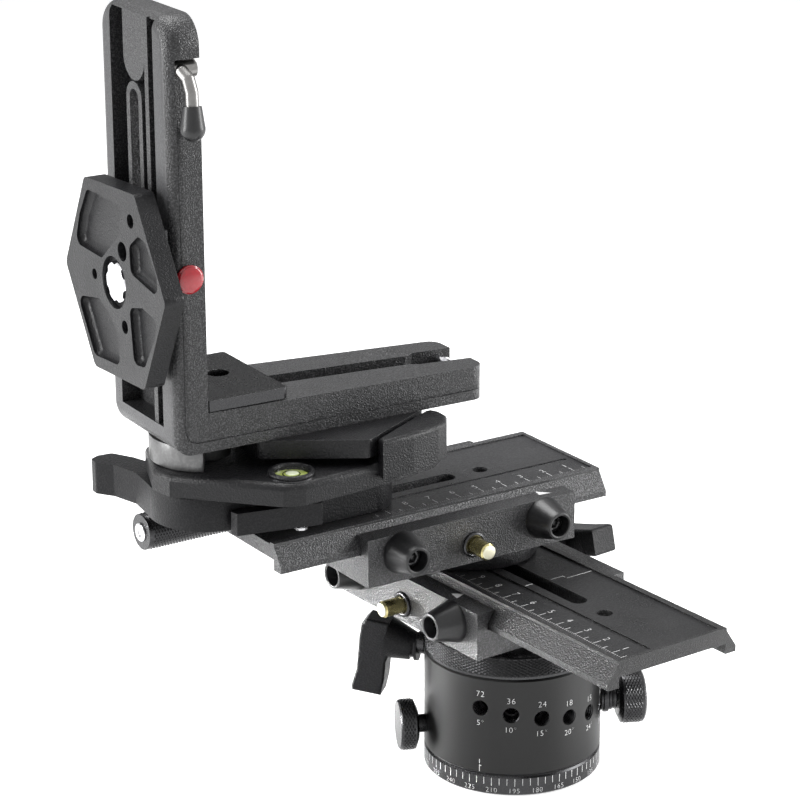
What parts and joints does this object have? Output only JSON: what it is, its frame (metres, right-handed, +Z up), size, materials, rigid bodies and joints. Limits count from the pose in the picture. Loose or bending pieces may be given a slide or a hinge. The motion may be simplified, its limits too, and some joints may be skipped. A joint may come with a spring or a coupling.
{
  "type": "panoramic tripod head",
  "caption": "Panoramic tripod head: indexed rotator, crossed scale slides and an L-shaped bracket with a sliding camera plate in a quick-release clamp.",
  "frame": {"origin": "centre of the base's bottom face, on the tripod thread's axis", "axes": "+Z up along the pan axis; the lower slide runs along Y with its numbered end towards -Y; the upper slide runs close to +X"},
  "size_m": [0.199, 0.2056, 0.2881],
  "materials": {
    "painted": "textured matte",
    "anodised": "black satin",
    "steel": "brushed",
    "chrome": "polished",
    "brass": "satin",
    "plastic": "matte",
    "red_plastic": "gloss",
    "rubber": "matte",
    "bare_alloy": "smooth",
    "vial": "clear"
  },
  "bodies": {
    "base": {"base_ring": "anodised", "tripod_bush": "steel", "friction_washer": "plastic", "index_drum": "steel", "spindle": "steel", "spindle_nut": "steel", "top_bearing": "brass"},
    "rotor": {"housing": "anodised", "knurled_disc": "anodised", "mount_stud": "steel", "plunger_collar": "anodised", "plunger_spring": "steel", "lower_carriage": "painted", "lower_cone_caps": "rubber", "lower_worm_block": "painted", "lower_button_spring": "steel"},
    "pan_lock": {"pan_lock_lever": "plastic", "pan_lock_stud": "steel"},
    "drag": {"drag_knob": "anodised"},
    "plunger": {"plunger_knob": "anodised", "plunger_pin": "steel"},
    "cross_slide": {"lower_plate": "painted", "upper_riser": "painted", "upper_mount_screw": "steel", "upper_carriage": "painted", "upper_cone_caps": "rubber", "upper_worm_block": "painted", "upper_button_spring": "steel"},
    "lower_lock": {"lower_lock_lever": "plastic", "lower_lock_stud": "steel"},
    "lower_feed": {"lower_worm": "steel", "lower_worm_knob": "anodised"},
    "lower_release": {"lower_release_button": "brass"},
    "head": {"upper_plate": "painted", "adapter_base": "painted", "adapter_screw": "steel", "adapter_body": "painted", "tab_pin": "steel", "level_cup": "anodised", "level_vial": "vial", "foot_plate": "painted", "foot_screw": "steel", "l_bracket": "painted", "arm_end_pin": "chrome", "side_cap": "red_plastic"},
    "upper_lock": {"upper_lock_lever": "plastic", "upper_lock_stud": "steel"},
    "upper_feed": {"upper_worm": "steel", "upper_worm_knob": "anodised"},
    "upper_release": {"upper_release_button": "brass"},
    "clamp_handle": {"clamp_lever": "painted", "clamp_cam": "bare_alloy"},
    "tab": {"safety_tab": "plastic"},
    "stop": {"stop_plate": "anodised"},
    "camera_mount": {"camera_plate": "painted", "plate_carrier": "anodised", "carrier_bolt": "steel"},
    "screw": {"camera_screw": "chrome"},
    "rod": {"rod_lever": "chrome", "rod_tip": "rubber"}
  },
  "joints": [
    {"name": "pan", "type": "hinge", "parent": "base", "child": "rotor", "pos_m": [0, 0, 0.03], "axis": [0, 0, 1], "continuous": true},
    {"name": "pan_lock_turn", "type": "hinge", "parent": "rotor", "child": "pan_lock", "pos_m": [-0.02892, 0.03447, 0.0425], "axis": [-0.6428, 0.766, 0], "range_deg": [-35, 35]},
    {"name": "drag_turn", "type": "hinge", "parent": "rotor", "child": "drag", "pos_m": [-0.03119, 0.01589, 0.0163], "axis": [-0.891, 0.454, 0], "range_deg": [-120, 120]},
    {"name": "plunger_pull", "type": "slide", "parent": "rotor", "child": "plunger", "axis": [0.8755, -0.4833, 0], "range_m": [0, 0.0026], "stiffness_N_per_m": 900, "springref_m": -0.0015},
    {"name": "lower_shift", "type": "slide", "parent": "rotor", "child": "cross_slide", "axis": [0, 1, 0], "range_m": [-0.02, 0.06]},
    {"name": "lower_lock_turn", "type": "hinge", "parent": "rotor", "child": "lower_lock", "pos_m": [0.04, 0.032, 0.0649], "axis": [1, 0, 0], "range_deg": [-40, 60]},
    {"name": "lower_feed_turn", "type": "hinge", "parent": "rotor", "child": "lower_feed", "pos_m": [0.0357, 0.09, 0.0649], "axis": [0, 1, 0], "continuous": true},
    {"name": "lower_release_push", "type": "slide", "parent": "rotor", "child": "lower_release", "axis": [1, 0, 0], "range_m": [0, 0.003], "stiffness_N_per_m": 500, "springref_m": -0.0015},
    {"name": "upper_shift", "type": "slide", "parent": "cross_slide", "child": "head", "axis": [0.9988, -0.0492, 0], "range_m": [-0.02, 0.06]},
    {"name": "upper_lock_turn", "type": "hinge", "parent": "cross_slide", "child": "upper_lock", "pos_m": [-0.02999, 0.06683, 0.095], "axis": [0.0492, 0.9988, 0], "range_deg": [-40, 60]},
    {"name": "upper_feed_turn", "type": "hinge", "parent": "cross_slide", "child": "upper_feed", "pos_m": [-0.08814, 0.06538, 0.095], "axis": [0.9988, -0.0492, 0], "continuous": true},
    {"name": "upper_release_push", "type": "slide", "parent": "cross_slide", "child": "upper_release", "axis": [0.0492, 0.9988, 0], "range_m": [0, 0.003], "stiffness_N_per_m": 500, "springref_m": -0.0015},
    {"name": "clamp_open", "type": "hinge", "parent": "head", "child": "clamp_handle", "pos_m": [-0.10528, 0.0385, 0.1157], "axis": [0, 0, 1], "range_deg": [0, 50]},
    {"name": "tab_press", "type": "hinge", "parent": "head", "child": "tab", "pos_m": [-0.08674, 0.00835, 0.1127], "axis": [0, 0, 1], "range_deg": [0, 12], "stiffness_Nm_per_rad": 0.05, "springref_deg": -11.46},
    {"name": "stop_shift", "type": "slide", "parent": "head", "child": "stop", "axis": [0.9962, -0.0872, 0], "range_m": [0, 0.04]},
    {"name": "camera_climb", "type": "slide", "parent": "head", "child": "camera_mount", "axis": [0, 0, 1], "range_m": [-0.018, 0.045]},
    {"name": "camera_screw_turn", "type": "hinge", "parent": "camera_mount", "child": "screw", "pos_m": [-0.13722, 0.04292, 0.1966], "axis": [-0.9962, 0.0872, 0], "continuous": true},
    {"name": "rod_swing", "type": "hinge", "parent": "head", "child": "rod", "pos_m": [-0.12179, 0.0208, 0.2709], "axis": [0.9962, -0.0872, 0], "range_deg": [-30, 0]}
  ]
}
